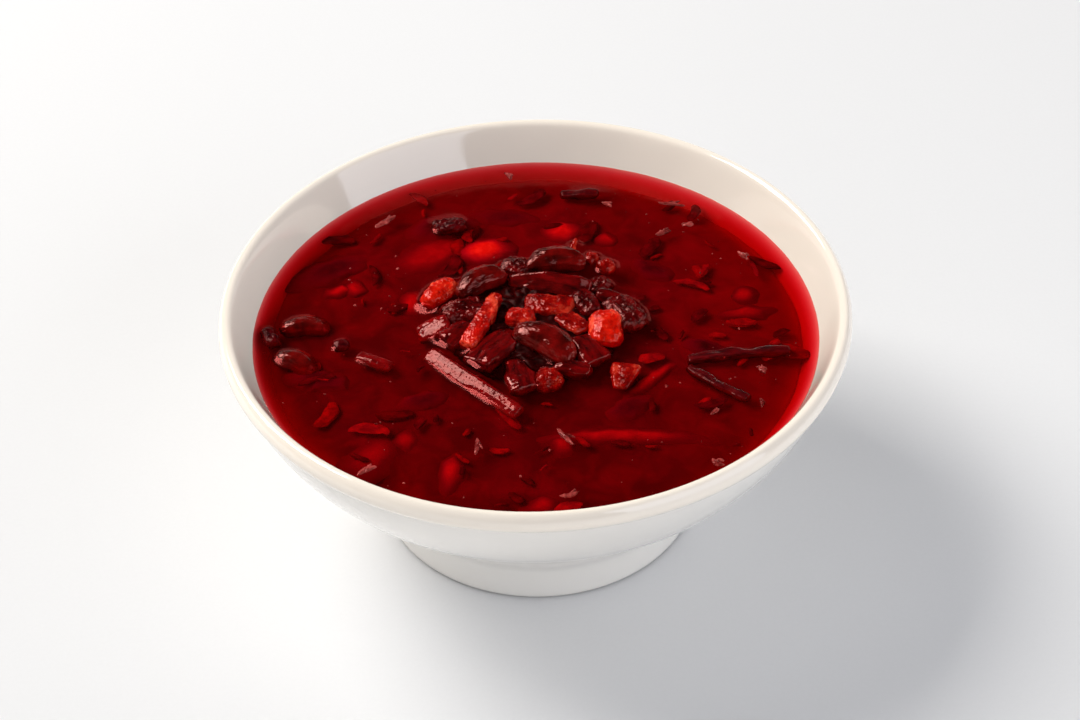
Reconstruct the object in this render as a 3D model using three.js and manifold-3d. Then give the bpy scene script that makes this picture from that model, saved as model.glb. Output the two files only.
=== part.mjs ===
// Borscht in a white stoneware bowl. Millimetres, +Z up, the bowl's axis on Z, its foot on z = 0.
// Every piece of garnish is a solid of its own, half sunk in a pocket of the soup.
import * as THREE from 'three';
import { mergeVertices } from 'three/addons/utils/BufferGeometryUtils.js';
import Module from 'manifold-3d';

// ---------------------------------------------------------------- driving dimensions
const RIM_R = 85;            // outer radius of the rolled rim
const RIM_H = 5.6;           // height of the rolled rim
const BOWL_H = 70.4;         // height of the bowl over all
const FOOT_R = 45.4;         // outer radius of the foot ring
const FOOT_H = 13;           // height of the foot ring
const RECESS_H = 10.8;       // height of the hollow under the foot
const SHOULDER = [72.3, 42.3]; // radius and height where the wall turns in to the belly
const LIP_R = 81.1;          // radius of the mouth inside the lip
const SOUP_Z = 58.5;         // level of the soup
const SOUP_R = 76.4;         // radius of the soup at that level
const FLOOR_Z = 16.6;        // inside floor of the bowl
const GAP = 0.3;             // play between two pieces that lie on each other
const TURNS = 44;            // facets round the bowl and the soup
const FINE = 0.06;           // detail finer than this is left out

// ---------------------------------------------------------------- solids
const wasm = await Module();
wasm.setup();

// three.js mesh -> solid that can be joined and cut
function solid(geometry) {
  const g = geometry.index ? geometry.clone() : mergeVertices(geometry);
  g.deleteAttribute('normal');
  g.deleteAttribute('uv');
  const m = mergeVertices(g, 1e-4);
  return new wasm.Manifold(new wasm.Mesh({
    numProp: 3,
    vertProperties: new Float32Array(m.attributes.position.array),
    triVerts: new Uint32Array(m.index.array),
  }));
}

// solid -> three.js mesh with a name and a colour
function piece(name, body, colour) {
  const parts = body.simplify(FINE).decompose().sort((a, b) => b.volume() - a.volume());
  const m = parts[0].getMesh();
  const g = new THREE.BufferGeometry();
  g.setAttribute('position', new THREE.BufferAttribute(new Float32Array(m.vertProperties), 3));
  g.setIndex(new THREE.BufferAttribute(new Uint32Array(m.triVerts), 1));
  g.computeVertexNormals();
  const mesh = new THREE.Mesh(g, new THREE.MeshStandardMaterial({ color: colour, roughness: 0.45 }));
  mesh.name = name;
  return mesh;
}

// the same shape with its skin moved out by d
function grown(geometry, d) {
  const g = geometry.clone();
  g.deleteAttribute('normal');
  g.deleteAttribute('uv');
  const m = mergeVertices(g, 1e-4);
  m.computeVertexNormals();
  const p = m.attributes.position;
  const n = m.attributes.normal;
  for (let i = 0; i < p.count; i++) {
    p.setXYZ(i, p.getX(i) + n.getX(i) * d, p.getY(i) + n.getY(i) * d, p.getZ(i) + n.getZ(i) * d);
  }
  return m;
}

// steady unevenness from a place and a seed, -1 to 1
function uneven(x, y, z, seed) {
  const s = Math.sin(x * 12.9898 + y * 78.233 + z * 37.719 + seed * 4.137) * 43758.5453;
  return 2 * (s - Math.floor(s)) - 1;
}

function reshape(geometry, rule) {
  const p = geometry.attributes.position;
  const v = new THREE.Vector3();
  for (let i = 0; i < p.count; i++) {
    v.fromBufferAttribute(p, i);
    rule(v);
    p.setXYZ(i, v.x, v.y, v.z);
  }
  return geometry;
}

// ---------------------------------------------------------------- bowl
// Inside wall from the lip down to the middle of the floor, [radius, height].
function insideWall() {
  const mouth = new THREE.Vector2(LIP_R, BOWL_H - 1.4);
  const level = new THREE.Vector2(SOUP_R, SOUP_Z);
  const curve = new THREE.CubicBezierCurve(
    level,
    new THREE.Vector2(SOUP_R - 10.5, SOUP_Z - 18.9),
    new THREE.Vector2(SOUP_R - 34, FLOOR_Z + 0.3),
    new THREE.Vector2(0, FLOOR_Z),
  );
  return [mouth, ...curve.getPoints(7)];
}

// Solid of revolution about Z, its profile in [radius, height] starts and ends on the axis.
function turned(points) {
  return new THREE.LatheGeometry(points, TURNS).rotateX(Math.PI / 2);
}

function bowl() {
  const v = (r, z) => new THREE.Vector2(r, z);
  const rimLow = BOWL_H - RIM_H;
  const footTop = v(FOOT_R + 1.2, FOOT_H);
  const shoulder = v(...SHOULDER);
  const wallTop = v(RIM_R - 2.1, rimLow - 0.5);
  const underside = [
    v(0, RECESS_H), v(FOOT_R - 15, RECESS_H - 0.4), v(FOOT_R - 8.8, RECESS_H - 1.6), v(FOOT_R - 6.8, 7.2),
  ];
  const foot = [
    v(FOOT_R - 5.7, 1.4), v(FOOT_R - 4.8, 0), v(FOOT_R - 0.8, 0),
    v(FOOT_R, 1.2), v(FOOT_R + 0.4, FOOT_H - 2.4), footTop,
  ];
  // the belly swells out from the foot to the shoulder, the wall stands up from there to the rim
  const belly = new THREE.CubicBezierCurve(
    footTop, v(FOOT_R + 5, FOOT_H + 9), v(shoulder.x - 8, shoulder.y - 7.5), shoulder,
  ).getPoints(4).slice(1);
  const wall = new THREE.CubicBezierCurve(
    shoulder, v(shoulder.x + 4.9, shoulder.y + 6), v(wallTop.x - 1.1, wallTop.y - 7.3), wallTop,
  ).getPoints(4).slice(1);
  const rim = [
    v(RIM_R - 0.7, rimLow + 0.1), v(RIM_R, rimLow + 1.6), v(RIM_R, rimLow + 3), v(RIM_R - 0.6, BOWL_H - 1.1),
    v(RIM_R - 1.7, BOWL_H), v(LIP_R + 0.9, BOWL_H - 0.3),
  ];
  return turned([...underside, ...foot, ...belly, ...wall, ...rim, ...insideWall()]);
}

// ---------------------------------------------------------------- soup
// The soup lies GAP clear of the bowl's wall and stops level at SOUP_Z.
function soupBody() {
  const wall = insideWall().slice(1);
  const shrunk = wall.map((p, i) => {
    const a = wall[Math.max(i - 1, 0)];
    const b = wall[Math.min(i + 1, wall.length - 1)];
    const along = new THREE.Vector2().subVectors(b, a).normalize();
    return i === wall.length - 1
      ? new THREE.Vector2(0, p.y + GAP * 1.2)
      : new THREE.Vector2(p.x + along.y * GAP * 1.2, p.y - along.x * GAP * 1.2);
  });
  const top = shrunk[0].clone();
  top.y = SOUP_Z;
  top.x = SOUP_R - GAP * 1.25;
  const edge = [new THREE.Vector2(0, SOUP_Z), top];
  return turned([...edge, ...shrunk.slice(1)].reverse());
}

// ---------------------------------------------------------------- garnish shapes
// Each is made about its own middle: length on X, width on Y, height on Z.

// kidney bean: blunt ends, one side dented, bent towards that side
function bean({ l, w, h, bend = 0.16 }) {
  const g = new THREE.SphereGeometry(1, 10, 8);
  g.rotateZ(Math.PI / 2);
  return reshape(mergeVertices(stripped(g), 1e-4), (v) => {
    const x = v.x;
    const round = Math.hypot(v.y, v.z);
    const full = Math.pow(Math.max(1 - Math.pow(Math.abs(x), 2.5), 0), 1 / 2.1);
    const k = round > 1e-6 ? full / round : 0;
    let y = v.y * k;
    if (y < 0) y *= 1 - 0.2 * Math.exp(-((x / 0.4) ** 2));
    v.set((x * l) / 2, (y * w) / 2 - bend * w * (x * x - 0.4), (v.z * k * h) / 2);
  });
}

function stripped(g) {
  g.deleteAttribute('normal');
  g.deleteAttribute('uv');
  return g;
}

// knife-cut piece: a box whose edges are worn round by the share `worn` of its smallest half size,
// bent flat (curl) or upwards (arch), drawn in towards its +X end (taper), its skin uneven (rough)
function cut({ l, w, h, worn = 0.7, curl = 0, arch = 0, taper = 0, rough = 0.05, seed = 1, grid = [4, 3, 2] }) {
  const half = new THREE.Vector3(l / 2, w / 2, h / 2);
  const edge = worn * Math.min(half.x, half.y, half.z);
  const core = half.clone().subScalar(edge);
  const g = new THREE.BoxGeometry(l, w, h, ...grid);
  return reshape(mergeVertices(stripped(g), 1e-4), (v) => {
    const inner = v.clone().clamp(core.clone().negate(), core);
    const out = v.clone().sub(inner);
    if (out.length() > 1e-6) v.copy(inner.add(out.setLength(edge)));
    const u = v.x / half.x;
    const narrow = 1 - (taper * (u + 1)) / 2;
    v.y *= narrow;
    v.z *= narrow;
    const bump = new THREE.Vector3(
      uneven(v.y, v.z, v.x, seed + 7), uneven(v.x, v.y, v.z, seed), uneven(v.z, v.x, v.y, seed + 3),
    ).multiplyScalar(rough * h);
    v.y += curl * (u * u - 0.4);
    v.z += arch * (0.5 - u * u);
    v.add(bump);
  });
}

// grated beet packed together: a low dome with an uneven top
function bed({ l, w, h, rough }) {
  const g = new THREE.SphereGeometry(1, 12, 7);
  g.rotateX(Math.PI / 2);
  return reshape(mergeVertices(stripped(g), 1e-4), (v) => {
    const lift = rough * uneven(v.x, v.y, v.z, 5) * Math.max(v.z, 0);
    v.set((v.x * l) / 2, (v.y * w) / 2, (v.z * h) / 2 + lift);
  });
}

// turn about Z, dip the +X end (dip > 0 is down), lean about its own length, then set in place
function placed(geometry, { at, turn = 0, dip = 0, lean = 0 }) {
  const rad = THREE.MathUtils.degToRad;
  return geometry.clone()
    .applyMatrix4(new THREE.Matrix4().makeRotationX(rad(lean)))
    .applyMatrix4(new THREE.Matrix4().makeRotationY(rad(dip)))
    .applyMatrix4(new THREE.Matrix4().makeRotationZ(rad(turn)))
    .applyMatrix4(new THREE.Matrix4().makeTranslation(...at));
}

// ---------------------------------------------------------------- garnish
const BEAN = '#5c1614';
const CARROT = '#c23a26';
const BEET = '#4c0a16';

// pieces of one kind, numbered in the order they are listed
function kind(name, shape, colour, rows) {
  return rows.map((row, i) => ({ name: `${name}_${i + 1}`, shape, colour, seed: i + 1, ...row }));
}

// The heap in the middle and the pieces that break the surface round it. A piece listed earlier
// keeps its whole shape, a later one gives way where the two would meet.
const garnish = [
  ...kind('kidney_bean', bean, BEAN, [
    // on the heap
    { l: 17, w: 8.6, h: 7.6, bend: 0.2, at: [6.2, 25.5, 61.6], turn: 2, lean: 14 },
    { l: 16.4, w: 8.4, h: 8, bend: 0.2, at: [-15, 17.4, 61.2], turn: 35, lean: 10 },
    { l: 19.5, w: 10.2, h: 8.8, bend: 0.12, at: [2.6, -9.3, 61.4], turn: -35, dip: 5 },
    // afloat on the left
    { l: 14.4, w: 8.2, h: 7.6, at: [-63.3, 4.4, 56.1], turn: 4, dip: 5 },
    { l: 13, w: 8, h: 7.4, at: [-64.6, -10.6, 56.4], turn: -30, dip: 8 },
  ]),
  ...kind('carrot', cut, CARROT, [
    // round slice, stick and chunks of the heap
    { l: 12, w: 6.6, h: 5.6, worn: 1, at: [-26.3, 14.6, 60], turn: 52 },
    { l: 20.6, w: 4.6, h: 4.4, worn: 0.4, at: [-14.1, -0.1, 62], turn: 65, dip: -10, grid: [6, 2, 2] },
    { l: 13.6, w: 8, h: 4.8, at: [3.8, 6.9, 60.2], turn: -10 },
    { l: 7.4, w: 5.6, h: 4.4, at: [-4, 0.8, 61.8], turn: -16 },
    { l: 11.6, w: 8.8, h: 6.4, worn: 1, at: [19.1, -2.9, 60.4], turn: -92, dip: 18 },
    // sliver that sticks up behind, then the small ones in front and between
    { l: 7.6, w: 3, h: 2.8, taper: 0.75, at: [11, 33.1, 59.9], turn: 69, dip: -22 },
    { l: 7.4, w: 6.6, h: 5.8, worn: 0.95, at: [3, -22.6, 59.7], turn: 12 },
    { l: 9.6, w: 8.2, h: 3.8, taper: 0.6, at: [22.9, -20.6, 58.2], turn: -104 },
    { l: 9.8, w: 6.4, h: 4.4, at: [9.8, -0.2, 59.9], turn: -48 },
    // small cubes behind, at the right
    { l: 4.8, w: 4.4, h: 3.8, worn: 0.8, at: [20.2, 24.7, 59.7], turn: 20, grid: [3, 3, 2] },
    { l: 4.4, w: 4, h: 3.6, worn: 0.8, at: [16, 28.6, 59.6], turn: 50, grid: [3, 3, 2] },
  ]),
  ...kind('beet_slice', cut, BEET, [
    { l: 23.4, w: 7.8, h: 2.4, worn: 0.55, curl: 1.6, arch: 2, taper: 0.5, at: [4.2, 15.8, 61], turn: 165,
      lean: -46, grid: [7, 3, 1] },
    { l: 16.2, w: 9.2, h: 4.2, worn: 0.55, arch: 0.8, at: [-10.9, -9.8, 59.9], turn: 50, lean: -10 },
    { l: 11.4, w: 8, h: 3.6, worn: 0.55, at: [13.8, -11, 59.4], turn: -58 },
    { l: 9.6, w: 7, h: 2.6, worn: 0.85, at: [-27.6, -0.3, 59.2], turn: 8, dip: -24, lean: 11 },
  ]),
  ...kind('beet', cut, BEET, [
    // left side of the heap
    { l: 10, w: 8.4, h: 5.6, at: [-20.7, -4, 59.3], turn: 36 },
    { l: 12, w: 8.6, h: 5.2, at: [-19.7, 5.8, 59.8], turn: 18 },
    // right side and front
    { l: 13, w: 9.8, h: 5.6, worn: 0.85, at: [24.4, 3.6, 59.7], turn: -64 },
    { l: 13, w: 10.4, h: 4.8, taper: 0.6, at: [-4.5, -20.2, 59.2], turn: 108 },
    // behind
    { l: 8.8, w: 7.6, h: 5.4, worn: 0.8, at: [-5.2, 24.2, 60], turn: -30 },
    // cube and chunk between the beans
    { l: 9.6, w: 7, h: 4.8, at: [14, 8, 60], turn: -62, grid: [3, 3, 2] },
    { l: 10, w: 6.6, h: 4.6, worn: 0.8, at: [9.6, -17.4, 58.9], turn: -12 },
    // slab and bit behind the oval carrot
    { l: 7.4, w: 4.4, h: 3.6, at: [20.6, 9.8, 60.6], turn: -24, grid: [3, 3, 2] },
    { l: 6.8, w: 5, h: 3.4, worn: 0.8, at: [17.8, 16.6, 59.8], turn: 30, grid: [3, 3, 2] },
    // afloat by themselves: at the left wall, left of the heap, behind it, and a dot
    { l: 8.6, w: 4.2, h: 4, worn: 0.8, at: [-71.9, -0.6, 57.6], turn: -72 },
    { l: 10.6, w: 4, h: 3, at: [-43.4, -12, 58.1], turn: -30 },
    { l: 9.6, w: 6, h: 4, worn: 0.8, at: [-24.1, 47.2, 58.1], turn: 10 },
    { l: 4.6, w: 4.2, h: 3.4, worn: 0.95, at: [-52.7, -4.9, 58.1], turn: 15, grid: [3, 3, 2] },
  ]),
  ...kind('beet_strip', cut, BEET, [
    // the long one in front of the heap, two on the right, one at the back
    { l: 34.2, w: 4.4, h: 3, worn: 0.4, arch: 0.3, at: [-16.9, -22.2, 58.6], turn: -45.5, lean: 28, rough: 0.04,
      grid: [7, 2, 2] },
    { l: 28, w: 3.6, h: 3.2, worn: 0.55, curl: -1.2, at: [54.3, -11.8, 57.4], turn: 5.6, grid: [6, 2, 2] },
    { l: 20, w: 2.8, h: 2.8, worn: 0.55, curl: 0.8, at: [47.6, -23.6, 57.6], turn: -42, grid: [6, 2, 2] },
    { l: 11, w: 3.4, h: 3, at: [13.7, 61.6, 57.8], turn: -2 },
  ]),
  // what the pieces of the heap lie in
  { name: 'grated_beet', shape: bed, colour: BEET, l: 49, w: 47, h: 9.6, rough: 0.5, at: [-0.5, 0.5, 57] },
];

// shreds of herb, onion and beet too small to be pieces: they lie on the soup and are one with it
// [x, y, length, width, turn]
const shreds = [
  [-42.7, 50.1, 8, 3.4, 43], [37.2, 41.7, 5, 3.4, 23], [44.5, 45.2, 3.6, 2.6, -2], [59.1, 30.1, 4.8, 2.4, -56],
  [40.5, 55.2, 8, 2, -13], [-6.9, 71.2, 4, 2.6, -64], [-15.7, -46.2, 6.4, 2.4, -94], [21.7, 56, 3.8, 2.4, -42],
  [-43.8, -54.1, 6, 2.6, 32], [6.9, -43.4, 8, 2.2, -57], [7.6, -64.6, 5.4, 2.6, 18], [59.7, -19.1, 4, 2.6, -58],
  [46.1, -35.2, 3.2, 2.2, 42], [58.5, -32.2, 4, 1.8, -90], [45.3, -54.5, 4, 3, -39],
];

function shred([x, y, l, w, turn], i) {
  const g = cut({ l, w, h: 1.1, worn: 0.95, rough: 0, seed: 50 + i, grid: [2, 2, 1] });
  return placed(g, { at: [x, y, SOUP_Z + 0.1], turn });
}

// ---------------------------------------------------------------- assembly
const meal = new THREE.Group();
meal.name = 'borscht';
meal.add(piece('bowl', solid(bowl()), '#e6e1d8'));

let soup = solid(soupBody());
shreds.forEach((row, i) => {
  soup = soup.add(solid(shred(row, i)));
});
let taken = null; // room used by the pieces set so far
for (const item of garnish) {
  const shape = placed(item.shape(item), item);
  const room = solid(grown(shape, GAP * 1.15));
  const body = taken ? solid(shape).subtract(taken) : solid(shape);
  taken = taken ? taken.add(room) : room;
  meal.add(piece(item.name, body, item.colour));
}
meal.add(piece('soup', soup.subtract(taken), '#5a0207'));

export default meal;
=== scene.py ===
import math
import random
import bmesh
import bpy
import numpy as np
from mathutils import Matrix, Vector, noise
from mathutils.bvhtree import BVHTree


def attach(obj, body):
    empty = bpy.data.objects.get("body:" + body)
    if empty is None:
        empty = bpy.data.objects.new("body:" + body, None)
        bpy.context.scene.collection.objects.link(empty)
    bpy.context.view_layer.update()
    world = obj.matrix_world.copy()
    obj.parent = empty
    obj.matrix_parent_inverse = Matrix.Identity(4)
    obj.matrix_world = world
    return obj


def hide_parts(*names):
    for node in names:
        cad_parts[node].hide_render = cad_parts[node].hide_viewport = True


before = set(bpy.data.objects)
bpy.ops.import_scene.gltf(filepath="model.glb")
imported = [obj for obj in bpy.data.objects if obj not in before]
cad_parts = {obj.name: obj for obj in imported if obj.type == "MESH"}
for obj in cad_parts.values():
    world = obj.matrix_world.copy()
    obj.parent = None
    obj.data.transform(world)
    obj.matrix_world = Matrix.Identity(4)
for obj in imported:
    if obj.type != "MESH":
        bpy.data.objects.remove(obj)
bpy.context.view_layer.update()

MM = 0.001                       # sizes are in millimetres up to the point where a mesh or node takes them
SOUP_LEVEL = 58.5                # height of the soup over the table
SOUP_RADIUS = 76.4               # where that level meets the wall


def linear(hex_colour):
    """sRGB hex to the linear colour that shaders use."""
    parts = [int(hex_colour[i:i + 2], 16) / 255 for i in (1, 3, 5)]
    return [c / 12.92 if c <= 0.04045 else ((c + 0.055) / 1.055) ** 2.4 for c in parts] + [1.0]


def put(tree, kind, settings=None, links=None):
    """Adds one node. Settings are its own properties or plain values of its sockets, links are what feeds
    it. Where a node's sockets share names they go by number: in a MapRange 1 and 2 are the range that comes
    in, 3 and 4 the range that goes out; in a Mix 6 and 7 are the two colours, 2 and 3 the two numbers."""
    n = tree.nodes.new("ShaderNode" + kind)
    for name, value in (settings or {}).items():
        if isinstance(name, str) and name in n.bl_rna.properties:
            setattr(n, name, value)
        else:
            n.inputs[name].default_value = value
    for name, source in (links or {}).items():
        tree.links.new(source, n.inputs[name])
    return n


def new_material(name):
    mat = bpy.data.materials.new(name)
    mat.use_nodes = True
    mat.node_tree.nodes.clear()
    return mat, mat.node_tree


def placed(name, data):
    """Puts a mesh, a lamp or the camera in the scene."""
    thing = bpy.data.objects.new(name, data)
    bpy.context.scene.collection.objects.link(thing)
    return thing


def bezier(a, b, c, d, steps):
    """Points of one curve after its first, each a radius and a height."""
    out = []
    for i in range(1, steps + 1):
        t = i / steps
        k = ((1 - t) ** 3, 3 * t * (1 - t) ** 2, 3 * t * t * (1 - t), t ** 3)
        out.append(tuple(sum(w * p[j] for w, p in zip(k, (a, b, c, d))) for j in (0, 1)))
    return out


def softened(points, rounds):
    """Cuts the corners of a profile again and again; its two ends stay."""
    for _ in range(rounds):
        cut = [points[0]]
        for (r0, z0), (r1, z1) in zip(points, points[1:]):
            cut += [(0.75 * r0 + 0.25 * r1, 0.75 * z0 + 0.25 * z1),
                    (0.25 * r0 + 0.75 * r1, 0.25 * z0 + 0.75 * z1)]
        points = cut + [points[-1]]
    return points


def turned(name, profile, around):
    """A closed mesh turned about the axis from a profile that starts and ends on it."""
    ring = [(math.cos(2 * math.pi * i / around), math.sin(2 * math.pi * i / around)) for i in range(around)]
    verts = [(0, 0, profile[0][1] * MM)]
    for r, z in profile[1:-1]:
        verts += [(r * c * MM, r * s * MM, z * MM) for c, s in ring]
    verts.append((0, 0, profile[-1][1] * MM))
    last, rows = len(verts) - 1, len(profile) - 2
    faces = []
    for i in range(around):
        j = (i + 1) % around
        faces.append((0, 1 + j, 1 + i))
        for k in range(rows - 1):
            a, b = 1 + k * around, 1 + (k + 1) * around
            faces.append((a + i, a + j, b + j, b + i))
        faces.append((1 + (rows - 1) * around + i, 1 + (rows - 1) * around + j, last))
    mesh = bpy.data.meshes.new(name)
    mesh.from_pydata(verts, [], faces)
    mesh.shade_smooth()
    return placed(name, mesh)


# The bowl's outline as radius and height: recess and foot ring, belly, upper wall, rolled rim, inside.
recess = [(0, 10.8), (30.4, 10.4), (36.6, 9.2), (38.6, 7.2), (39.7, 1.4)]
foot = [(40.6, 0), (44.4, 0), (45.1, 0.8), (45.4, 4), (45.8, 10.6), (46.6, 13)]
belly = bezier((46.6, 13), (50.4, 22), (64.3, 34.8), (72.3, 42.3), 12)
upper_wall = bezier((72.3, 42.3), (77.2, 48.3), (81.8, 57), (82.9, 64.3), 12)
rim = [(84.3, 64.9), (85, 66.4), (85, 67.8), (84.4, 69.3), (83.3, 70.4), (82, 70.1)]
inside_wall = ([(81.1, 69), (78.75, 63.75), (76.4, 58.5)]
               + bezier((76.4, 58.5), (65.9, 39.6), (42.4, 16.9), (0, 16.6), 24))
bowl = turned("stoneware_bowl", softened(recess + foot + belly + upper_wall + rim + inside_wall, 2), 192)

# Feldspar glaze over pale clay: IOR 1.58, smooth as glass, a touch thicker and so warmer in slow patches.
# Inside and on the rim it is painted warmer and lighter, as painted light for the warm glow the lit interior
# takes from the soup.
# It lies in faint waves, and the wiped edge of the foot shows dull clay, darkened as a painted contact
# shadow.
glaze, tree = new_material("warm_white_glazed_stoneware")
place = put(tree, "TexCoord")
pooled = put(tree, "TexNoise", {"Scale": 1 / (38 * MM), "Detail": 2.0}, {"Vector": place.outputs["Object"]})
off_axis = put(tree, "Mapping", {"Scale": (1, 1, 0)}, {"Vector": place.outputs["Object"]})
outward = put(tree, "VectorMath", {"operation": "DOT_PRODUCT"},
              {0: off_axis.outputs[0], 1: place.outputs["Normal"]})
# Painted light: the inside of the bowl is painted warmer and lighter than the outside.
inside = put(tree, "MapRange", {1: -0.01, 2: 0.01, 3: 0.8, 4: 0.0}, {0: outward.outputs["Value"]})
height = put(tree, "SeparateXYZ", {}, {0: place.outputs["Object"]})
# Painted light: the rim is painted warmer and lighter too.
painted_warm_rim = put(tree, "MapRange", {1: 63 * MM, 2: 67 * MM, 3: 0.0, 4: 0.8}, {0: height.outputs["Z"]})
warm = put(tree, "Math", {"operation": "MAXIMUM"}, {0: inside.outputs[0], 1: painted_warm_rim.outputs[0]})
# The warmth here is the glaze's slow patches plus the painted warmth of the inside and the rim.
thick = put(tree, "Math", {"operation": "MULTIPLY_ADD", 1: 0.2},
            {0: pooled.outputs["Fac"], 2: warm.outputs[0]})
tone = put(tree, "Mix", {"data_type": "RGBA", 6: linear("#EEEBE5"), 7: linear("#FCF1E2")},
           {0: thick.outputs[0]})
# The dull bare clay ring at the foot's edge is real, but its dark tone is also a painted shadow where the
# foot meets the table.
bare_clay_and_contact_shadow = put(tree, "MapRange", {1: 0.3 * MM, 2: 0.9 * MM, 3: 1.0, 4: 0.0}, {0: height.outputs["Z"]})
skin = put(tree, "Mix", {"data_type": "RGBA", 7: linear("#8A8174")},
           {0: bare_clay_and_contact_shadow.outputs[0], 6: tone.outputs[2]})
dull = put(tree, "MapRange", {3: 0.07, 4: 0.6}, {0: bare_clay_and_contact_shadow.outputs[0]})
flow = put(tree, "TexNoise", {"Scale": 1 / (22 * MM), "Detail": 1.0}, {"Vector": place.outputs["Object"]})
wave = put(tree, "Bump", {"Strength": 1.0, "Distance": 0.5 * MM}, {"Height": flow.outputs["Fac"]})
body = put(tree, "BsdfPrincipled",
           {"IOR": 1.58, "Coat Weight": 0.5, "Coat IOR": 1.6, "Coat Roughness": 0.03},
           {"Base Color": skin.outputs[2], "Roughness": dull.outputs[0], "Normal": wave.outputs["Normal"]})
put(tree, "OutputMaterial", {}, {"Surface": body.outputs["BSDF"]})
bowl.data.materials.append(glaze)
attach(bowl, "root")
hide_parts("bowl")

# ---------------------------------------------------------------------------- kidney beans
# Whole beans boiled soft in the soup, three on the heap and two afloat at the left. The skin is
# tight and thin, brown under the beet's crimson, finely creased along the bean, and wet all over.


def cooked(node_name, name, grit, rounding, relief):
    """A copy of a node's solid with one close skin of this grit and its edges cooked soft in this many
    rounds. relief gives how far the skin stands out at a place in the piece's own axes, length first."""
    rough = placed(name + "_rough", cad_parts[node_name].data.copy())
    skin = rough.modifiers.new("skin", "REMESH")
    skin.mode, skin.voxel_size = "VOXEL", grit * MM
    soft = rough.modifiers.new("soft", "SMOOTH")
    soft.factor, soft.iterations = 0.5, rounding
    mesh = bpy.data.meshes.new_from_object(rough.evaluated_get(bpy.context.evaluated_depsgraph_get()))
    bpy.data.objects.remove(rough)
    at = np.empty(len(mesh.vertices) * 3)
    mesh.vertices.foreach_get("co", at)
    at = at.reshape(-1, 3)
    middle = (at.max(0) + at.min(0)) / 2
    _, axes = np.linalg.eigh(np.cov((at - middle).T))
    along, flat = axes[:, 2], axes[:, 0]
    along = along * (1 if along[0] > 0 else -1)
    flat = flat * (1 if flat[2] > 0 else -1)
    turn = Matrix((along, np.cross(flat, along), flat)).transposed().to_4x4()
    home = Matrix.Translation(middle) @ turn
    mesh.transform(home.inverted())
    mesh.update()
    moved = [v.co + v.normal * relief(v.co / MM) * MM for v in mesh.vertices]
    mesh.vertices.foreach_set("co", np.array(moved, dtype=np.float32).ravel())
    mesh.update()
    mesh.shade_smooth()
    mesh.materials.clear()
    mesh.name = name
    piece = placed(name, mesh)
    piece.matrix_world = home
    return piece


def waves(p, length, width, seed):
    """Smooth unevenness from -1 to 1, its hills this long and this wide."""
    return noise.noise(
        Vector((p.x / length + seed * 7.1, p.y / width - seed * 3.7, p.z / width + seed * 1.9)))


def torn(p, size, seed):
    """Unevenness with sharp valleys, as where boiled flesh has flaked, from -1 to 1."""
    return 2 * abs(noise.noise(p / size + Vector((seed * 5.3, seed * 2.9, 0)))) * 1.8 - 1


# A film of the crimson broth lies on every piece, so what they mirror is a little red.
WET_RED = linear("#FFA69E")

# Boiled bean skin: brown pigment stained crimson, in blotches a few millimetres wide. A thick film of
# broth with sugar and fat in it makes it mirror more than skin does, which sets the high IOR.
bean_skin, tree = new_material("boiled_kidney_bean_skin")
place = put(tree, "TexCoord")
blotch = put(tree, "TexNoise", {"Scale": 1 / (4.5 * MM), "Detail": 4.0},
             {"Vector": place.outputs["Object"]})
share = put(tree, "MapRange", {1: 0.35, 2: 0.65}, {0: blotch.outputs["Fac"]})
tone = put(tree, "Mix", {"data_type": "RGBA", 6: linear("#300201"), 7: linear("#780807")},
           {0: share.outputs[0]})
stretched = put(tree, "Mapping", {"Scale": (0.35, 1, 1)}, {"Vector": place.outputs["Object"]})
crease = put(tree, "TexNoise", {"Scale": 1 / (0.6 * MM), "Detail": 2.0}, {"Vector": stretched.outputs[0]})
wrinkle = put(tree, "Bump", {"Strength": 1.0, "Distance": 0.2 * MM}, {"Height": crease.outputs["Fac"]})
body = put(tree, "BsdfPrincipled",
           {"Roughness": 0.08, "IOR": 1.7, "Specular Tint": WET_RED,
            "Subsurface Weight": 0.15, "Subsurface Radius": (1.6, 0.2, 0.15), "Subsurface Scale": MM},
           {"Base Color": tone.outputs[2], "Normal": wrinkle.outputs["Normal"]})
put(tree, "OutputMaterial", {}, {"Surface": body.outputs["BSDF"]})

garnish = []                     # every piece that breaks the soup's surface
for i in range(1, 6):
    def bean_relief(p, i=i):
        return 0.15 + 0.35 * waves(p, 5.0, 2.4, i) + 0.16 * waves(p, 3.4, 0.9, i + 9)
    bean = cooked(f"kidney_bean_{i}", f"bean_{i}", 0.32, 4, bean_relief)
    bean.data.materials.append(bean_skin)
    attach(bean, "root")
    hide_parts(f"kidney_bean_{i}")
    garnish.append(bean)

# ---------------------------------------------------------------------------- carrot
# Slices, a stick and chunks of carrot, cut by knife and boiled until their edges gave way. The orange
# has taken up beet juice, most where it is thin, and the cut faces show the flesh's wet grain.


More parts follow.
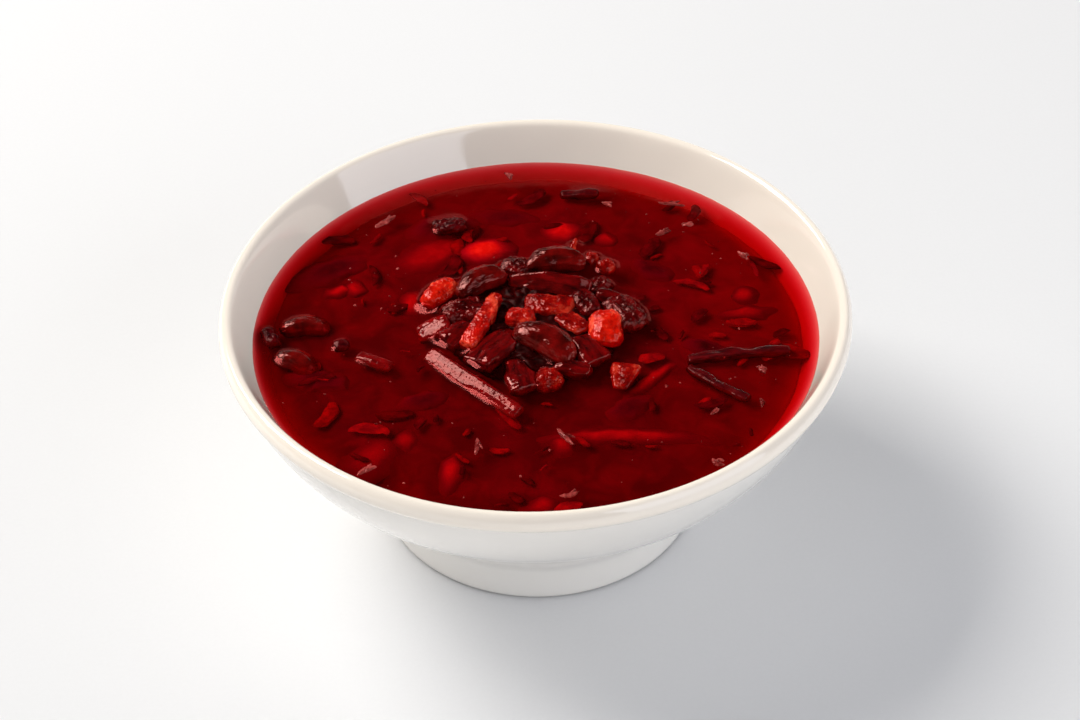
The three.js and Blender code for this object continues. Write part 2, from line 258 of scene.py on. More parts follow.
def carrot_flesh(name, dark, light, share_of_painted_glints, fade=0.0):
    """Boiled carrot between two colours, stained in patches, with this share of painted glints: small bright
    orange spots along the threads that stand in for the glints of the wet flesh. It darkens by its fade over
    10 mm towards one end and clears as much towards the other. The pores are fine and wet."""
    mat, tree = new_material(name)
    place = put(tree, "TexCoord")
    stain = put(tree, "TexNoise", {"Scale": 1 / (3.2 * MM), "Detail": 5.0, "Roughness": 0.6},
                {"Vector": place.outputs["Object"]})
    share = put(tree, "MapRange", {1: 0.36, 2: 0.62}, {0: stain.outputs["Fac"]})
    along = put(tree, "SeparateXYZ", {}, {0: place.outputs["Object"]})
    ends = put(tree, "Math", {"operation": "MULTIPLY_ADD", "use_clamp": True, 1: -fade / (10 * MM)},
               {0: along.outputs["X"], 2: share.outputs[0]})
    tone = put(tree, "Mix", {"data_type": "RGBA", 6: linear(dark), 7: linear(light)}, {0: ends.outputs[0]})
    threads = put(tree, "Mapping", {"Scale": (0.45, 1, 1)}, {"Vector": place.outputs["Object"]})
    # Painted highlights: bright orange spots stand in for the glints of the wet flesh.
    glint_speck = put(tree, "TexNoise", {"Scale": 1 / (0.8 * MM), "Detail": 4.0, "Roughness": 0.8},
                {"Vector": threads.outputs[0]})
    patch = put(tree, "TexNoise", {"Scale": 1 / (4.0 * MM), "Detail": 1.0},
                {"Vector": place.outputs["Object"]})
    both = put(tree, "Math", {"operation": "ADD"}, {0: glint_speck.outputs["Fac"], 1: patch.outputs["Fac"]})
    painted_glints = put(tree, "MapRange", {1: 1.08, 2: 1.2, 3: 0.0, 4: share_of_painted_glints}, {0: both.outputs[0]})
    flesh = put(tree, "Mix", {"data_type": "RGBA", 7: linear("#FF5C3C")},
                {0: painted_glints.outputs[0], 6: tone.outputs[2]})
    cells = put(tree, "TexVoronoi", {"Scale": 1 / (0.55 * MM), "feature": "F1"},
                {"Vector": place.outputs["Object"]})
    grain = put(tree, "TexNoise", {"Scale": 1 / (0.7 * MM), "Detail": 3.0},
                {"Vector": place.outputs["Object"]})
    uneven = put(tree, "Math", {"operation": "ADD"},
                 {0: cells.outputs["Distance"], 1: grain.outputs["Fac"]})
    pores = put(tree, "Bump", {"Strength": 1.0, "Distance": 0.1 * MM}, {"Height": uneven.outputs[0]})
    body = put(tree, "BsdfPrincipled",
               {"Roughness": 0.1, "IOR": 1.6, "Specular Tint": WET_RED,
                "Subsurface Weight": 0.3, "Subsurface Radius": (1.6, 0.2, 0.1), "Subsurface Scale": MM},
               {"Base Color": flesh.outputs[2], "Normal": pores.outputs["Normal"]})
    put(tree, "OutputMaterial", {}, {"Surface": body.outputs["BSDF"]})
    return mat


# Pieces that stand clear of the broth keep more of their orange than those that lie in it, and carry more
# painted glints. The stick across the heap is bright at its low end and dark at the end that is tucked in.
boiled_carrot = carrot_flesh("boiled_carrot_flesh", "#AC0800", "#E41E0C", 0.9)
half_soaked_carrot = carrot_flesh("boiled_carrot_half_soaked", "#780302", "#C4120A", 0.5, fade=0.45)
soaked_carrot = carrot_flesh("boiled_carrot_soaked_in_beet_juice", "#5A0101", "#A00804", 0.25)
clear_of_broth, half_clear, the_stick = (1, 5), (2, 4), 2

for i in range(1, 12):
    def carrot_relief(p, i=i):
        pits = max(0.0, noise.noise(p * 1.1 + Vector((i, 0, 0))) - 0.25)
        taper = 0.1 * max(0.0, p.x) if i == the_stick else 0.0
        return 0.3 + 0.4 * waves(p, 4.5, 3.4, i + 20) + 0.12 * torn(p, 1.6, i) - 0.4 * pits - taper
    carrot = cooked(f"carrot_{i}", f"carrot_piece_{i}", 0.3, 3, carrot_relief)
    carrot.data.materials.append(
        boiled_carrot if i in clear_of_broth else half_soaked_carrot if i in half_clear else soaked_carrot)
    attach(carrot, "root")
    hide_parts(f"carrot_{i}")
    garnish.append(carrot)

# ---------------------------------------------------------------------------- beetroot
# Strips, slices and cubes of beetroot, boiled dark, on a bed of grated beetroot. The flesh is smooth
# and close with fibres that run along each piece, and the broth leaves it shining.


def beetroot(name, dark, light, grain, depth, pits=0.0, roughness=0.09, shine=0.5):
    """Boiled beetroot between two colours that change along its fibres, its wet skin uneven at this grain
    and depth, with pits this deep. shine is how much of its film of broth still mirrors."""
    mat, tree = new_material(name)
    place = put(tree, "TexCoord")
    stretched = put(tree, "Mapping", {"Scale": (0.3, 1, 1)}, {"Vector": place.outputs["Object"]})
    fibre = put(tree, "TexNoise", {"Scale": 1 / (1.8 * MM), "Detail": 5.0, "Roughness": 0.6},
                {"Vector": stretched.outputs[0]})
    share = put(tree, "MapRange", {1: 0.35, 2: 0.66}, {0: fibre.outputs["Fac"]})
    tone = put(tree, "Mix", {"data_type": "RGBA", 6: linear(dark), 7: linear(light)}, {0: share.outputs[0]})
    fine = put(tree, "TexNoise", {"Scale": 1 / (grain * MM), "Detail": 2.0},
               {"Vector": place.outputs["Object"]})
    swell = put(tree, "Math", {"operation": "MULTIPLY", 1: depth}, {0: fine.outputs["Fac"]})
    holes = put(tree, "TexNoise", {"Scale": 1 / (0.75 * MM), "Detail": 0.0},
                {"Vector": place.outputs["Object"]})
    pit = put(tree, "MapRange", {1: 0.30, 2: 0.36, 3: -pits, 4: 0.0}, {0: holes.outputs["Fac"]})
    height = put(tree, "Math", {"operation": "ADD"}, {0: swell.outputs[0], 1: pit.outputs[0]})
    ridges = put(tree, "Bump", {"Strength": 1.0, "Distance": MM}, {"Height": height.outputs[0]})
    body = put(tree, "BsdfPrincipled",
               {"Roughness": roughness, "IOR": 1.62, "Specular IOR Level": shine, "Specular Tint": WET_RED,
                "Subsurface Weight": 0.25, "Subsurface Radius": (2.2, 0.15, 0.1), "Subsurface Scale": MM},
               {"Base Color": tone.outputs[2], "Normal": ridges.outputs["Normal"]})
    put(tree, "OutputMaterial", {}, {"Surface": body.outputs["BSDF"]})
    return mat


# Knife cuts stay smooth; where the flesh is grated or torn it stands up in small crumbs.
cut_beet = beetroot("knife_cut_boiled_beetroot", "#300102", "#780507", 1.3, 0.12)
torn_beet = beetroot("torn_boiled_beetroot", "#280001", "#6C0507", 0.55, 0.24)
# The grated bed is darker than any cut piece: its near-black is partly painted shade, for the shadow in the
# gaps between the pieces.
grated_beet = beetroot("grated_boiled_beetroot", "#100000", "#300102", 1.2, 0.1, roughness=0.4, shine=0.06)
pitted_beet = beetroot("pitted_boiled_beetroot", "#520204", "#8A080A", 1.3, 0.0, pits=0.18, shine=0.32)
soaked_beet = beetroot("boiled_beetroot_low_in_the_broth", "#2E0104", "#620509", 1.0, 0.14,
                       roughness=0.25, shine=0.14)
torn_nodes = {"beet_2", "beet_3", "beet_5", "beet_6", "beet_9", "beet_10", "beet_12"}
afloat_nodes = {"beet_10", "beet_12", "beet_13", "beet_strip_2", "beet_strip_3", "beet_strip_4"}
flat_nodes = {"beet_strip_1", "beet_11", "beet_slice_4"}

beet_nodes = ([f"beet_slice_{i}" for i in range(1, 5)] + [f"beet_{i}" for i in range(1, 14)]
              + [f"beet_strip_{i}" for i in range(1, 5)])
for i, node_name in enumerate(beet_nodes):
    is_torn, is_flat = node_name in torn_nodes, node_name in flat_nodes

    def beet_relief(p, i=i, crumbs=0.25 if is_torn else 0.03, swell=0.06 if is_flat else 0.6):
        return 0.2 + swell * waves(p, 5.0, 3.4, i + 40) + crumbs * torn(p, 1.7, i + 70)
    beet = cooked(node_name, node_name.replace("beet", "beetroot"), 0.3, 6 if is_flat else 3, beet_relief)
    beet.data.materials.append(
        soaked_beet if node_name in afloat_nodes else pitted_beet if is_flat
        else torn_beet if is_torn else cut_beet)
    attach(beet, "root")
    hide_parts(node_name)
    garnish.append(beet)


def bed_relief(p):
    return 0.5 * torn(p, 3.0, 3) + 0.3 * waves(p, 5.0, 1.2, 4)


bed = cooked("grated_beet", "grated_beetroot_bed", 0.45, 2, bed_relief)
bed.data.materials.append(grated_beet)
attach(bed, "root")
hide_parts("grated_beet")
garnish.append(bed)

# ---------------------------------------------------------------------------- what is sunk in the soup
# Carrot and beetroot that lie wholly under the surface and show as dim red shapes, and under them the
# pulp of grated vegetables and cloudy broth that fills the bowl, too thick to see the bottom through.
sunk_rows = [
    # x, y, depth of the top under the surface, length, width, turn, bend, stuff
    (-13.8, 36.7, 0.4, 15, 11.5, 8, 0, "carrot"),
    (8.3, 45.2, 1.4, 11, 10, 0, 0, "carrot"),
    (20.6, 41.4, 2.3, 7, 6, 0, 0, "carrot"),
    (-28.5, 36.5, 2.3, 27, 13, 35, 0, "carrot"),
    (-54.5, 20.5, 1.9, 9, 5, 22, 0, "carrot"),
    (-50.2, 21.6, 2.1, 6, 6, 70, 0, "carrot"),
    (-33.7, 14.0, 1.8, 7, 11, 10, 0, "carrot"),
    (30.5, -20.0, 2.0, 20, 4.4, 43, -0.6, "carrot"),
    (58.3, 14.8, 2.3, 7, 7, 0, 0, "carrot"),
    (57.5, 7.0, 2.4, 13, 5.5, 6, 0, "carrot"),
    (21.5, -42.5, 2.2, 40, 5.4, -2, -2.4, "carrot"),
    (6.4, -44.5, 2.4, 6.5, 8, 12, 0, "carrot"),
    (-22.3, -53.6, 2.0, 12.5, 5.4, 84, 0, "carrot"),
    (-34.0, -41.5, 2.5, 6, 7.5, 0, 0, "carrot"),
    (-43.0, -47.0, 2.6, 17, 10, 62, 0, "carrot"),
    (0.5, -66.5, 2.5, 8, 6, 20, 0, "carrot"),
    (46.0, -8.0, 1.2, 14, 6, -30, 0, "beet"),
    (-30.0, -26.0, 1.6, 12, 6, 20, 0, "beet"),
    (-58.0, -17.0, 1.2, 14, 7, -15, 0, "beet"),
    (-26.0, 48.5, 1.0, 17, 10, 12, 0, "beet"),
    (-8.0, 53.0, 1.8, 18, 7, -8, 0, "beet"),
    (33.0, 27.0, 1.4, 13, 7, -40, 0, "beet"),
    (24.0, -31.0, 1.6, 12, 7, 35, 0, "beet"),
    (-57.0, 30.0, 1.4, 20, 9, 30, 0, "beet"),
]
PULP_LEVEL = 55.0
ROOT_LEVEL = PULP_LEVEL - 1      # the lumps stand with their middles in the pulp


def under_cloud(name, dark, light, cloud):
    """A sunk piece takes the colour of the cloudy broth the deeper its flesh lies and towards its sides."""
    mat, tree = new_material(name)
    place = put(tree, "TexCoord")
    up = put(tree, "SeparateXYZ", {}, {0: place.outputs["Object"]})
    clear = put(tree, "MapRange", {1: 1.2 * MM, 2: 3.5 * MM}, {0: up.outputs["Z"]})
    sides = put(tree, "VectorMath", {"operation": "SUBTRACT", 1: (0.5, 0.5, 0)},
                {0: place.outputs["Generated"]})
    level = put(tree, "VectorMath", {"operation": "MULTIPLY", 1: (2, 2, 0)}, {0: sides.outputs[0]})
    reach = put(tree, "VectorMath", {"operation": "LENGTH"}, {0: level.outputs[0]})
    core = put(tree, "MapRange", {1: 0.2, 2: 0.85, 3: 1.0, 4: 0.0, "interpolation_type": "SMOOTHSTEP"},
               {0: reach.outputs["Value"]})
    faint = put(tree, "Math", {"operation": "MULTIPLY"}, {0: clear.outputs[0], 1: core.outputs[0]})
    grain = put(tree, "TexNoise", {"Scale": 1 / (2.6 * MM), "Detail": 4.0},
                {"Vector": place.outputs["Object"]})
    pale = put(tree, "MapRange", {1: 0.4, 2: 0.7}, {0: grain.outputs["Fac"]})
    flesh = put(tree, "Mix", {"data_type": "RGBA", 6: linear(dark), 7: linear(light)}, {0: pale.outputs[0]})
    tone = put(tree, "Mix", {"data_type": "RGBA", 6: linear(cloud)},
               {0: faint.outputs[0], 7: flesh.outputs[2]})
    body = put(tree, "BsdfPrincipled", {"Roughness": 0.9, "Specular IOR Level": 0.0},
               {"Base Color": tone.outputs[2]})
    put(tree, "OutputMaterial", {}, {"Surface": body.outputs["BSDF"]})
    return mat


# What is under the broth mirrors nothing itself. The cloud's own colour is that of the pulp further down.
CLOUD = "#7A1B65"
sunk_stuff = {
    "carrot": under_cloud("boiled_carrot_in_cloudy_broth", "#DA3021", "#F96145", CLOUD),
    "beet": under_cloud("boiled_beetroot_in_cloudy_broth", "#300303", "#500A0A", CLOUD),
}


def smooth_mesh(name, bm):
    """Ends a bmesh as a smooth mesh of this name."""
    mesh = bpy.data.meshes.new(name)
    bm.to_mesh(mesh)
    bm.free()
    mesh.shade_smooth()
    return mesh


def sunk(name, x, y, depth, length, width, turn, bend, seed):
    """A lump boiled soft, its top this far under the surface and its sides falling away into the cloud."""
    rise = SOUP_LEVEL - depth - ROOT_LEVEL
    bm = bmesh.new()
    bmesh.ops.create_icosphere(bm, subdivisions=5, radius=1.0)
    for v in bm.verts:
        q = Vector((v.co.x * length * 0.75, v.co.y * width * 0.75 + bend * (v.co.x ** 2 - 0.4),
                    v.co.z * abs(v.co.z) ** 1.4 * rise))
        ragged = [noise.noise(q / 3.6 + Vector((seed * 3.1, 0, k * 9.4))) for k in (1, 2, 3)]
        q += Vector((ragged[0] * min(1.2, 0.2 * length), ragged[1] * min(1.0, 0.2 * width), 0.2 * ragged[2]))
        v.co = q * MM
    piece = placed(name, smooth_mesh(name, bm))
    piece.matrix_world = (Matrix.Translation(Vector((x, y, ROOT_LEVEL)) * MM)
                          @ Matrix.Rotation(math.radians(turn), 4, "Z"))
    return piece


for i, (x, y, depth, length, width, turn, bend, stuff) in enumerate(sunk_rows):
    piece = sunk(f"sunk_{stuff}_{i + 1}", x, y, depth, length, width, turn, bend, i + 1)
    piece.data.materials.append(sunk_stuff[stuff])
    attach(piece, "root")

# The pulp: finely shredded beetroot in cloudy broth, dull, its shreds darker and lighter than each other.
# Towards the wall it is painted a lighter clear red, a painted glow of the lit glaze through the thin broth,
# least in front, and it is painted paler at the back and over the right as painted light from the lamp.
pulp_stuff, tree = new_material("cloudy_beetroot_pulp")
place = put(tree, "TexCoord")
shreds = put(tree, "TexNoise", {"Scale": 1 / (9 * MM), "Detail": 5.0, "Roughness": 0.55, "Distortion": 0.6},
             {"Vector": place.outputs["Object"]})
share = put(tree, "MapRange", {1: 0.35, 2: 0.68}, {0: shreds.outputs["Fac"]})
where = put(tree, "SeparateXYZ", {}, {0: place.outputs["Object"]})
# Painted light: paler towards the back, where the lamp's light falls.
back = put(tree, "MapRange", {1: -50 * MM, 2: 60 * MM, 3: -0.25, 4: 0.25}, {0: where.outputs["Y"]})
paler = put(tree, "Math", {"operation": "ADD", "use_clamp": True}, {0: share.outputs[0], 1: back.outputs[0]})
tone = put(tree, "Mix", {"data_type": "RGBA", 6: linear("#651659"), 7: linear("#8B1F6F")},
           {0: paler.outputs[0]})
off_axis = put(tree, "Mapping", {"Scale": (1, 1, 0)}, {"Vector": place.outputs["Object"]})
radius = put(tree, "VectorMath", {"operation": "LENGTH"}, {0: off_axis.outputs[0]})
# Painted light: a lighter red towards the wall stands in for the glow of the lit glaze seen through the thin
# broth, weaker in front.
near_the_wall = put(tree, "MapRange", {1: 65.5 * MM, 2: 72.7 * MM, 3: 0.0, 4: 1.0}, {0: radius.outputs["Value"]})
faster = put(tree, "Math", {"operation": "POWER", 1: 2.6}, {0: near_the_wall.outputs[0]})
front = put(tree, "MapRange", {1: -74 * MM, 2: -45 * MM, 3: 0.4, 4: 1.0}, {0: where.outputs["Y"]})
# Painted light: more of the lighter red over the right, where the lamp from the left lights the wall.
right = put(tree, "MapRange", {1: 30 * MM, 2: 72 * MM, 3: 0.0, 4: 0.3}, {0: where.outputs["X"]})
painted_wall_glow = put(tree, "Math", {"operation": "MULTIPLY_ADD"},
              {0: faster.outputs[0], 1: front.outputs[0], 2: right.outputs[0]})
lit = put(tree, "Mix", {"data_type": "RGBA", 7: linear("#CE3038")},
          {0: painted_wall_glow.outputs[0], 6: tone.outputs[2]})
body = put(tree, "BsdfPrincipled", {"Roughness": 0.9, "Specular IOR Level": 0.0},
           {"Base Color": lit.outputs[2]})
put(tree, "OutputMaterial", {}, {"Surface": body.outputs["BSDF"]})

pulp_side = [(r + 0.3, z) for r, z in reversed(inside_wall[5:-3])]
pulp_top = [(73.4, 52.2), (71, 53), (66, 54.6), (50, PULP_LEVEL), (0, PULP_LEVEL)]
pulp = turned("beetroot_pulp", softened([(0, 20)] + pulp_side + pulp_top, 1), 160)
for v in pulp.data.vertices:
    if v.co.z > 50 * MM:
        p = v.co / MM
        v.co.z += 0.8 * noise.fractal(Vector((p.x / 14, p.y / 14, 0)), 1.0, 2.0, 3) * MM
pulp.data.materials.append(pulp_stuff)
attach(pulp, "root")

# ---------------------------------------------------------------------------- shreds and crumbs afloat
# Onion, herb and beet too small to be pieces: fifteen curled shreds lie on the soup, fine crumbs are
# strewn between them and more shreds hang just under the surface. All were chopped and went limp.
shred_rows = [
    # x, y, length, width, turn
    (-42.7, 50.1, 8, 3.4, 43), (37.2, 41.7, 5, 3.4, 23), (44.5, 45.2, 3.6, 2.6, -2),
    (59.1, 30.1, 4.8, 2.4, -56), (40.5, 55.2, 8, 2, -13), (-6.9, 71.2, 4, 2.6, -64),
    (-15.7, -46.2, 6.4, 2.4, -94), (21.7, 56, 3.8, 2.4, -42), (-43.8, -54.1, 6, 2.6, 32),
    (6.9, -43.4, 8, 2.2, -57), (7.6, -64.6, 5.4, 2.6, 18), (59.7, -19.1, 4, 2.6, -58),
    (46.1, -35.2, 3.2, 2.2, 42), (58.5, -32.2, 4, 1.8, -90), (45.3, -54.5, 4, 3, -39),
]
chance = random.Random(11)


def curl(bm, x, y, z, length, width, turn, thick, blunt=1.0):
    """One limp shred: a flattened, bent and notched lump, its ends squarer when blunt is low."""
    seed = Vector([chance.uniform(0, 90) for _ in range(3)])
    bend = chance.uniform(-0.5, 0.5) * width
    place = (Matrix.Translation(Vector((x, y, z)) * MM) @ Matrix.Rotation(math.radians(turn), 4, "Z"))
    made = bmesh.ops.create_icosphere(bm, subdivisions=3 if length > 2.4 else 2, radius=1.0)
    for v in made["verts"]:
        p = v.co.copy()
        ragged = 1 + 0.75 * noise.noise(p * 1.7 + seed)
        end = math.copysign(abs(p.x) ** blunt, p.x)
        q = Vector((end * length / 2, p.y * width / 2 * ragged + bend * (end ** 2 - 0.4), p.z * thick / 2))
        q.z += 0.35 * thick * noise.noise(q / 0.9 + seed)
        v.co = place @ (q * MM)


def spot(middle_share, farthest):
    """A chance place on the soup out to the farthest radius, but not in the middle share of that area."""
    radius, angle = farthest * math.sqrt(chance.uniform(middle_share, 1)), chance.uniform(0, 2 * math.pi)
    return radius * math.cos(angle), radius * math.sin(angle)


def fill_shreds(bm):
    for x, y, length, width, turn in shred_rows:
        curl(bm, x, y, SOUP_LEVEL + 0.1, length, 0.55 * width, turn, 1.0)
        curl(bm, x + 0.2 * width, y + 0.25 * width, SOUP_LEVEL + 0.15, 0.6 * length, 0.3 * width,
             turn + 35, 0.9)


def fill_crumbs(bm):
    for _ in range(150):
        x, y = spot(0.14, 74)
        size = 0.3 + 0.9 * chance.random() ** 3
        curl(bm, x, y, SOUP_LEVEL + 0.05, size, size * chance.uniform(0.3, 0.8), chance.uniform(0, 180),
             0.3 + 0.2 * size)


def fill_sunk(bm):
    for _ in range(40):
        x, y = spot(0.12, 71)
        length = 3 + 9 * chance.random() ** 1.5
        curl(bm, x, y, SOUP_LEVEL - chance.uniform(1.5, 2.8), length, length * chance.uniform(0.2, 0.45),
             chance.uniform(0, 180), 0.9, blunt=0.6)


def strewn(name, material, fill):
    bm = bmesh.new()
    fill(bm)
    mesh = smooth_mesh(name, bm)
    mesh.materials.append(material)
    piece = placed(name, mesh)
    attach(piece, "root")


def dim(name, dark, light):
    """Shreds under the surface, hardly lighter or darker than the broth over them and without gloss."""
    mat, tree = new_material(name)
    place = put(tree, "TexCoord")
    grain = put(tree, "TexNoise", {"Scale": 1 / (3 * MM), "Detail": 3.0}, {"Vector": place.outputs["Object"]})
    share = put(tree, "MapRange", {1: 0.38, 2: 0.66}, {0: grain.outputs["Fac"]})
    tone = put(tree, "Mix", {"data_type": "RGBA", 6: linear(dark), 7: linear(light)}, {0: share.outputs[0]})
    body = put(tree, "BsdfPrincipled", {"Roughness": 0.9, "Specular IOR Level": 0.0},
               {"Base Color": tone.outputs[2]})
    put(tree, "OutputMaterial", {}, {"Surface": body.outputs["BSDF"]})
    return mat


# Limp onion and herb, stained: pale pink where it is thick, brown-red where it is thin, and wet.
limp, tree = new_material("limp_stained_onion_shreds")
place = put(tree, "TexCoord")
kinds = put(tree, "TexNoise", {"Scale": 1 / (5 * MM), "Detail": 4.0, "Roughness": 0.7},
            {"Vector": place.outputs["Object"]})
share = put(tree, "MapRange", {1: 0.42, 2: 0.6}, {0: kinds.outputs["Fac"]})
tone = put(tree, "Mix", {"data_type": "RGBA", 6: linear("#5A0A0A"), 7: linear("#A84440")},
           {0: share.outputs[0]})
body = put(tree, "BsdfPrincipled", {"Roughness": 0.15, "IOR": 1.4, "Specular Tint": WET_RED},
           {"Base Color": tone.outputs[2]})
put(tree, "OutputMaterial", {}, {"Surface": body.outputs["BSDF"]})

strewn("onion_and_herb_shreds", limp, fill_shreds)
strewn("fine_crumbs", limp, fill_crumbs)
strewn("sunk_beetroot_shreds", dim("beetroot_shreds_in_the_broth", "#4B0A1D", "#6F1430"), fill_sunk)
strewn("sunk_carrot_shreds", dim("carrot_shreds_in_the_broth", "#7C1830", "#AA2230"), fill_sunk)

# ---------------------------------------------------------------------------- the soup
# Clear crimson broth up to the level in the bowl. It creeps up the glaze and every piece that breaks
# it, and it is deep red a few millimetres down and pink where it thins out at the wall.
WALL_CLIMB, PIECE_CLIMB = 0.9, 2.4
CLIMB_SHARE, STRIP_SHARE = 0.6, 0.75     # the most of a piece's clear height that the film climbs
CAPILLARY = 2.3                          # how far the climbing film reaches out
skins, corners, climbs = [], [], []
for piece in garnish:
    base = len(corners)
    corners += [piece.matrix_world @ v.co for v in piece.data.vertices]
    skins += [[base + k for k in p.vertices] for p in piece.data.polygons]
    clear_height = max(c.z for c in corners[base:]) / MM - SOUP_LEVEL
    share = STRIP_SHARE if piece.name == "beetroot_strip_1" else CLIMB_SHARE
    climbs += [min(PIECE_CLIMB, share * clear_height)] * len(piece.data.polygons)
pieces_tree = BVHTree.FromPolygons(corners, skins)

# Height of the film over the level: held at each piece and at the wall, and drawn down between them by
# its weight, which a few hundred rounds of averaging settle. Rays from above find the pieces.
STEP, REACH = 0.3, 77.4
RAY_TOP, RAY_REACH = 80, 21.4
line = np.arange(-REACH, REACH + STEP / 2, STEP)
film = np.zeros((len(line), len(line)))
WALL_AT = SOUP_RADIUS + 0.4
held = np.hypot(*np.meshgrid(line, line, indexing="ij")) > WALL_AT
film[held] = WALL_CLIMB
for i, x in enumerate(line):
    for j, y in enumerate(line):
        if held[i, j]:
            continue
        above = Vector((x, y, RAY_TOP)) * MM
        hit, _, face, _ = pieces_tree.ray_cast(above, Vector((0, 0, -1)), RAY_REACH * MM)
        if hit is not None and hit.z / MM - SOUP_LEVEL > climbs[face]:
            held[i, j], film[i, j] = True, climbs[face]
for _ in range(320):
    beside = (np.roll(film, 1, 0) + np.roll(film, -1, 0) + np.roll(film, 1, 1) + np.roll(film, -1, 1)) / 4
    film = np.where(held, film, beside / (1 + STEP ** 2 / (4 * CAPILLARY ** 2)))
for _ in range(3):
    for axis in (0, 1):
        film = (film + np.roll(film, 1, axis)) / 2
        film = (film + np.roll(film, -1, axis)) / 2


def surface(x, y):
    """A point of the soup's surface: the level, the film that climbs from it, and a very faint ripple."""
    a, b = (x + REACH) / STEP, (y + REACH) / STEP
    i, j = min(int(a), len(line) - 2), min(int(b), len(line) - 2)
    a, b = a - i, b - j
    near = film[i, j] * (1 - a) + film[i + 1, j] * a
    far = film[i, j + 1] * (1 - a) + film[i + 1, j + 1] * a
    ripple = 0.05 * noise.fractal(Vector((x / 5, y / 5, 3)), 1.0, 2.0, 3)
    return (x * MM, y * MM, (SOUP_LEVEL + (near * (1 - b) + far * b) + ripple) * MM)


# The broth's mesh: rings out to the wall, closest at the heap, then down inside the wall to the bottom.
# It reaches a little into the glaze, so that no gap of air shows.
WALL_LEAN, BITE = 0.523, 0.12
edge_radius = SOUP_RADIUS + WALL_LEAN * WALL_CLIMB + BITE
AROUND = 500
rings = np.concatenate([np.arange(0.35, 32, 0.35), np.arange(32, edge_radius - 0.3, 0.6), [edge_radius]])
turns = [(math.cos(2 * math.pi * k / AROUND), math.sin(2 * math.pi * k / AROUND)) for k in range(AROUND)]
under = [(r + BITE, z - 0.1) for r, z in inside_wall[2:-1]][::2]

verts = [surface(0, 0)] + [surface(r * c, r * s) for r in rings for c, s in turns]
verts += [(r * c * MM, r * s * MM, z * MM) for r, z in under for c, s in turns]
faces = [(0, 1 + k, 1 + (k + 1) % AROUND) for k in range(AROUND)]
for row in range(1, len(verts) - AROUND, AROUND):
    for k in range(AROUND):
        after = (k + 1) % AROUND
        faces.append((row + k, row + AROUND + k, row + AROUND + after, row + after))
last_row = len(verts) - AROUND
verts.append((0, 0, 16.5 * MM))
faces += [(last_row + (k + 1) % AROUND, last_row + k, len(verts) - 1) for k in range(AROUND)]
mesh = bpy.data.meshes.new("crimson_broth")
mesh.from_pydata(verts, [], faces)
mesh.validate()
mesh.shade_smooth()
broth = placed("crimson_broth", mesh)

# Beetroot broth: water with betanin, which takes green and blue away within a few millimetres and lets
# red through for about two centimetres. A thin film of cooking fat makes it mirror a little more than
# water does. Lamps' light passes it straight, dimmed by the colour.
clear_broth, tree = new_material("clear_beetroot_broth")
path = put(tree, "LightPath")
straight = put(tree, "BsdfTransparent")
wet = put(tree, "BsdfGlass", {"IOR": 1.45, "Roughness": 0.12, "Color": linear("#FF817E")})
seen = put(tree, "MixShader", {},
           {0: path.outputs["Is Camera Ray"], 1: straight.outputs[0], 2: wet.outputs[0]})
dye = put(tree, "VolumeAbsorption", {"Color": linear("#F34E89"), "Density": 520.0})
put(tree, "OutputMaterial", {}, {"Surface": seen.outputs[0], "Volume": dye.outputs[0]})
mesh.materials.append(clear_broth)
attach(broth, "root")
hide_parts("soup")

# ---------------------------------------------------------------------------- table, light and camera
# A plain white table under one big soft lamp high at the back left, with a weaker panel low at the
# front right and a dim room. The camera stands in front and looks down at about 41 degrees.
TABLE_SIZE = 40                  # metres, so that its far end stays out of low views
bpy.ops.mesh.primitive_grid_add(x_subdivisions=8, y_subdivisions=8, size=TABLE_SIZE)
table = bpy.context.object
table.name = "table"

# Matt white lacquer: it scatters the light evenly and hardly mirrors. Its fine tooth is drawn about
# 1.1 mm wide, as coarse as it needs to show.
table_top, tree = new_material("matt_white_lacquer")
place = put(tree, "TexCoord")
tooth = put(tree, "TexNoise", {"Scale": 900.0, "Detail": 2.0}, {"Vector": place.outputs["Object"]})
tone = put(tree, "Mix", {"data_type": "RGBA", 6: linear("#E0E1E2"), 7: linear("#E3E4E5")},
           {0: tooth.outputs["Fac"]})
body = put(tree, "BsdfPrincipled", {"Roughness": 0.8, "Specular IOR Level": 0.2},
           {"Base Color": tone.outputs[2]})
put(tree, "OutputMaterial", {}, {"Surface": body.outputs["BSDF"]})
table.data.materials.append(table_top)


def lamp(name, azimuth, elevation, distance, wide, high, radiance, colour):
    """A flat soft lamp that faces the bowl, sizes in metres. Azimuth 0 is behind it, 90 is to its right."""
    data = bpy.data.lights.new(name, "AREA")
    data.shape, data.size, data.size_y = "RECTANGLE", wide, high
    data.energy = radiance * math.pi * wide * high
    data.color = linear(colour)[:3]
    a, e = math.radians(azimuth), math.radians(elevation)
    way = Vector((math.sin(a) * math.cos(e), math.cos(a) * math.cos(e), math.sin(e)))
    holder = placed(name, data)
    holder.location = Vector((0, 0, 0.05)) + way * distance
    holder.rotation_euler = way.to_track_quat("Z", "Y").to_euler()


lamp("softbox", -60, 45, 2.2, 1.2, 1.2, 11.1, "#FFFBF5")
lamp("panel", 130, 22, 1.6, 1.45, 1.15, 1.9, "#F0F5FF")

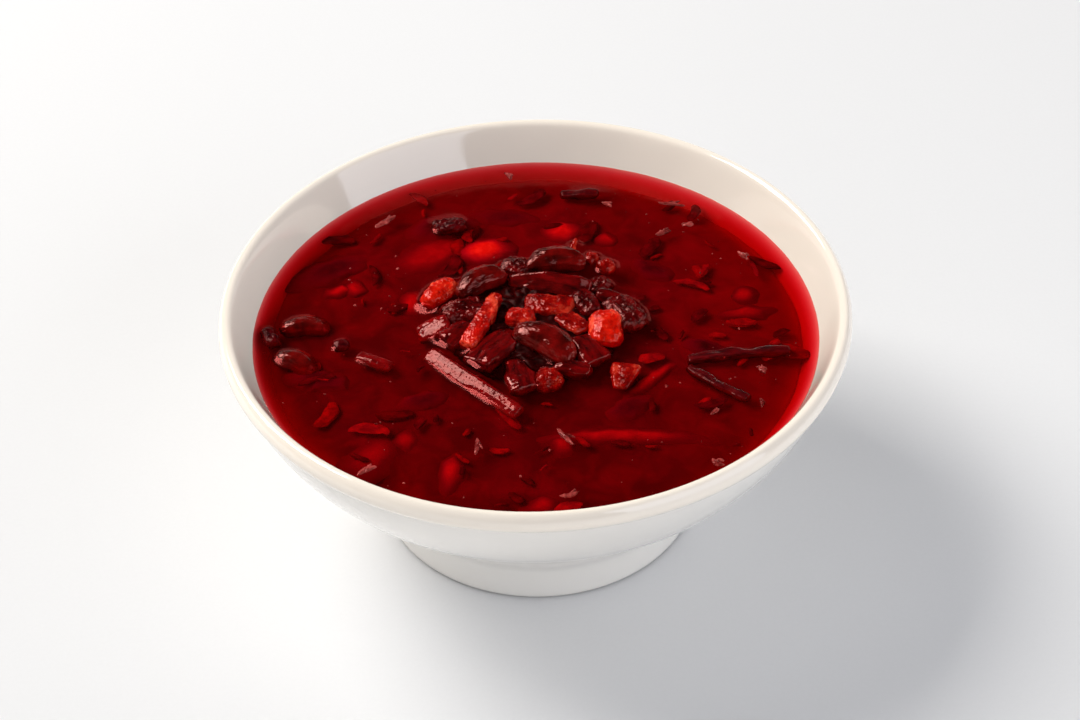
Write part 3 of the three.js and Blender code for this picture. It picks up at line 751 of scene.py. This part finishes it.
# The room glows low at the back right, as from windows, and softly from a screen high at the front left.
# What is wet mirrors next to nothing of it but a dark red, as the soup's own colour fills what is near.
# Where the room itself shows over the table's far end, it is an even pale grey.
world = bpy.data.worlds.new("dim_room")
bpy.context.scene.world = world
world.use_nodes = True
tree = world.node_tree
tree.nodes.clear()
place = put(tree, "TexCoord")
way = put(tree, "SeparateXYZ", {}, {0: place.outputs["Generated"]})
low = put(tree, "MapRange", {1: 0.15, 2: 0.66, 3: 2.65, 4: 0.0, "interpolation_type": "SMOOTHERSTEP"},
          {0: way.outputs["Z"]})
toward = put(tree, "VectorMath", {"operation": "DOT_PRODUCT", 1: (0.5, 0.87, 0)},
             {0: place.outputs["Generated"]})
windows = put(tree, "MapRange", {1: 0.0, 2: 0.7}, {0: toward.outputs["Value"]})
lit = put(tree, "Math", {"operation": "MULTIPLY"}, {0: low.outputs[0], 1: windows.outputs[0]})
facing = put(tree, "VectorMath", {"operation": "DOT_PRODUCT", 1: (-0.354, -0.612, 0.707)},
             {0: place.outputs["Generated"]})
screen = put(tree, "MapRange", {1: 0.6, 2: 1.0, 3: 0.0, 4: 1.05}, {0: facing.outputs["Value"]})
all_round = put(tree, "Math", {"operation": "ADD"}, {0: lit.outputs[0], 1: screen.outputs[0]})
path = put(tree, "LightPath")
strength = put(tree, "Mix", {"data_type": "FLOAT", 3: 0.05},
               {0: path.outputs["Is Glossy Ray"], 2: all_round.outputs[0]})
hue = put(tree, "Mix", {"data_type": "RGBA", 6: linear("#FDFCFF"), 7: linear("#FFAAA6")},
          {0: path.outputs["Is Glossy Ray"]})
shown = put(tree, "Mix", {"data_type": "FLOAT", 3: 0.9},
            {0: path.outputs["Is Camera Ray"], 2: strength.outputs[0]})
glow = put(tree, "Background", {}, {"Color": hue.outputs[2], "Strength": shown.outputs[0]})
put(tree, "OutputWorld", {}, {"Surface": glow.outputs[0]})

EYE, LOOKED_AT, ROLL = Vector((0, -0.4549, 0.4388)), Vector((0, 0, 0.0475)), math.radians(-1.4)
eye = bpy.data.cameras.new("camera")
eye.sensor_width, eye.lens = 36.0, 72.61
eye.shift_x = 3.7 / 1080         # pixels of the frame's 1080
camera = placed("camera", eye)
camera.location = EYE
aim = (LOOKED_AT - EYE).to_track_quat("-Z", "Y").to_matrix()
camera.rotation_euler = (aim @ Matrix.Rotation(ROLL, 3, "Z")).to_euler()
bpy.context.scene.camera = camera
bpy.context.scene.view_settings.view_transform = "Standard"
